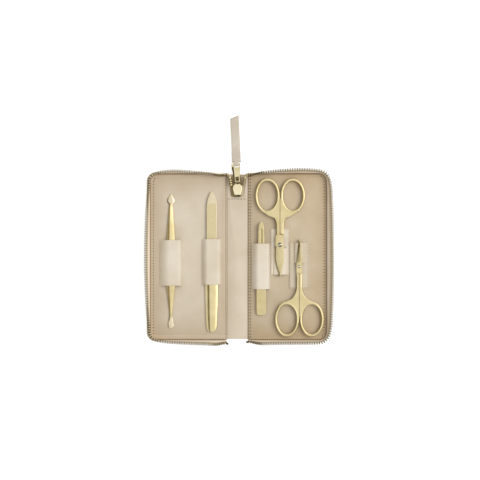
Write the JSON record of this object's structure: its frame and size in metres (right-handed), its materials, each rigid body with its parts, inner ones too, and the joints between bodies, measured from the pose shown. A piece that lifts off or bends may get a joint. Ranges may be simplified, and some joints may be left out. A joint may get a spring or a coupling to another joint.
{
  "type": "manicure set case",
  "caption": "Open zip-round leather manicure case lying flat like a book, with a pusher, nail file, tweezers and scissors under leather sleeves and a slider with a strap pull.",
  "frame": {"origin": "middle of the spine's outer face, on which the open case rests", "axes": "+X to the half with the scissors, +Y up the spine to the parked zip slider, +Z out of the trays"},
  "size_m": [0.1766, 0.2126, 0.0116],
  "materials": {
    "cover_leather": "smooth calf, satin, pinkish beige",
    "lining_leather": "smooth leather, satin, beige",
    "sleeve_leather": "smooth leather, satin, pale cream",
    "stiffener_board": "raw pressed board, hidden",
    "zip_tape": "woven twill tape, matt beige",
    "zip_teeth": "polished pale brass",
    "gold_steel": "satin champagne-gold plated steel",
    "slider_metal": "satin champagne-gold plated",
    "screw_steel": "bright nickel"
  },
  "bodies": {
    "spine": {"spine_cover": "cover_leather", "spine_lining": "lining_leather", "zip_tape_tail": "zip_tape", "zip_bottom_stop": "zip_teeth", "zip_wing_left": "zip_tape", "zip_wing_right": "zip_tape", "zip_run_left": "zip_teeth", "zip_run_right": "zip_teeth"},
    "left_half": {"left_cover": "cover_leather", "left_board": "stiffener_board", "left_lining": "lining_leather", "left_wall": "cover_leather", "left_zip_tape": "zip_tape", "left_zip_teeth": "zip_teeth", "left_zip_top_stop": "zip_teeth", "pusher_sleeve": "sleeve_leather", "file_sleeve": "sleeve_leather"},
    "right_half": {"right_cover": "cover_leather", "right_board": "stiffener_board", "right_lining": "lining_leather", "right_wall": "cover_leather", "right_zip_tape": "zip_tape", "right_zip_teeth": "zip_teeth", "right_zip_top_stop": "zip_teeth", "tweezers_sleeve": "sleeve_leather", "nail_scissors_loop": "sleeve_leather", "cuticle_scissors_loop": "sleeve_leather"},
    "slider": {"slider_body": "slider_metal"},
    "pull": {"pull_plate": "slider_metal"},
    "strap": {"pull_strap": "sleeve_leather"},
    "pusher": {"pusher": "gold_steel"},
    "file": {"file_blade": "gold_steel", "file_handle": "gold_steel"},
    "tweezers": {"tweezers_rear_arm": "gold_steel"},
    "tweezers_front": {"tweezers_front_arm": "gold_steel"},
    "nail_scissors": {"nail_scissors_rear": "gold_steel", "nail_scissors_screw": "screw_steel"},
    "nail_scissors_front": {"nail_scissors_front": "gold_steel"},
    "cuticle_scissors": {"cuticle_scissors_rear": "gold_steel", "cuticle_scissors_screw": "screw_steel"},
    "cuticle_scissors_front": {"cuticle_scissors_front": "gold_steel"}
  },
  "joints": [
    {"name": "left_fold", "type": "hinge", "parent": "spine", "child": "left_half", "pos_m": [-0.0097, 0, 0.0021], "axis": [0, 1, 0], "range_deg": [0, 90]},
    {"name": "right_fold", "type": "hinge", "parent": "spine", "child": "right_half", "pos_m": [0.0097, 0, 0.0021], "axis": [0, -1, 0], "range_deg": [0, 90]},
    {"name": "slider_travel", "type": "slide", "parent": "spine", "child": "slider", "axis": [0, 1, 0], "range_m": [0, 0.003]},
    {"name": "pull_swing", "type": "hinge", "parent": "slider", "child": "pull", "pos_m": [0, 0.069, 0.0075], "axis": [-0.999, -0.0436, 0], "range_deg": [-165, 0]},
    {"name": "strap_swing", "type": "hinge", "parent": "pull", "child": "strap", "pos_m": [-0.00071, 0.08536, 0.00225], "axis": [0.999, 0.0436, 0], "range_deg": [-30, 85]},
    {"name": "pusher_slide", "type": "slide", "parent": "left_half", "child": "pusher", "axis": [0, 1, 0], "range_m": [-0.009, 0.016]},
    {"name": "file_slide", "type": "slide", "parent": "left_half", "child": "file", "axis": [0, 1, 0], "range_m": [-0.007, 0.015]},
    {"name": "tweezers_slide", "type": "slide", "parent": "right_half", "child": "tweezers", "axis": [0, 1, 0], "range_m": [-0.021, 0.006]},
    {"name": "tweezers_squeeze", "type": "hinge", "parent": "tweezers", "child": "tweezers_front", "pos_m": [0.0218, -0.0498, 0.00485], "axis": [-1, 0, 0], "range_deg": [0, 1.8], "stiffness_Nm_per_rad": 1.9},
    {"name": "nail_scissors_slide", "type": "slide", "parent": "right_half", "child": "nail_scissors", "axis": [0, 1, 0], "range_m": [0, 0.003]},
    {"name": "nail_scissors_open", "type": "hinge", "parent": "nail_scissors", "child": "nail_scissors_front", "pos_m": [0.0391, 0.011, 0.0068], "axis": [0, 0, -1], "range_deg": [-10, 0]},
    {"name": "cuticle_scissors_slide", "type": "slide", "parent": "right_half", "child": "cuticle_scissors", "axis": [0, -1, 0], "range_m": [0, 0.002]},
    {"name": "cuticle_scissors_open", "type": "hinge", "parent": "cuticle_scissors", "child": "cuticle_scissors_front", "pos_m": [0.05676, -0.0088, 0.0068], "axis": [0, 0, -1], "range_deg": [-3, 0]}
  ]
}
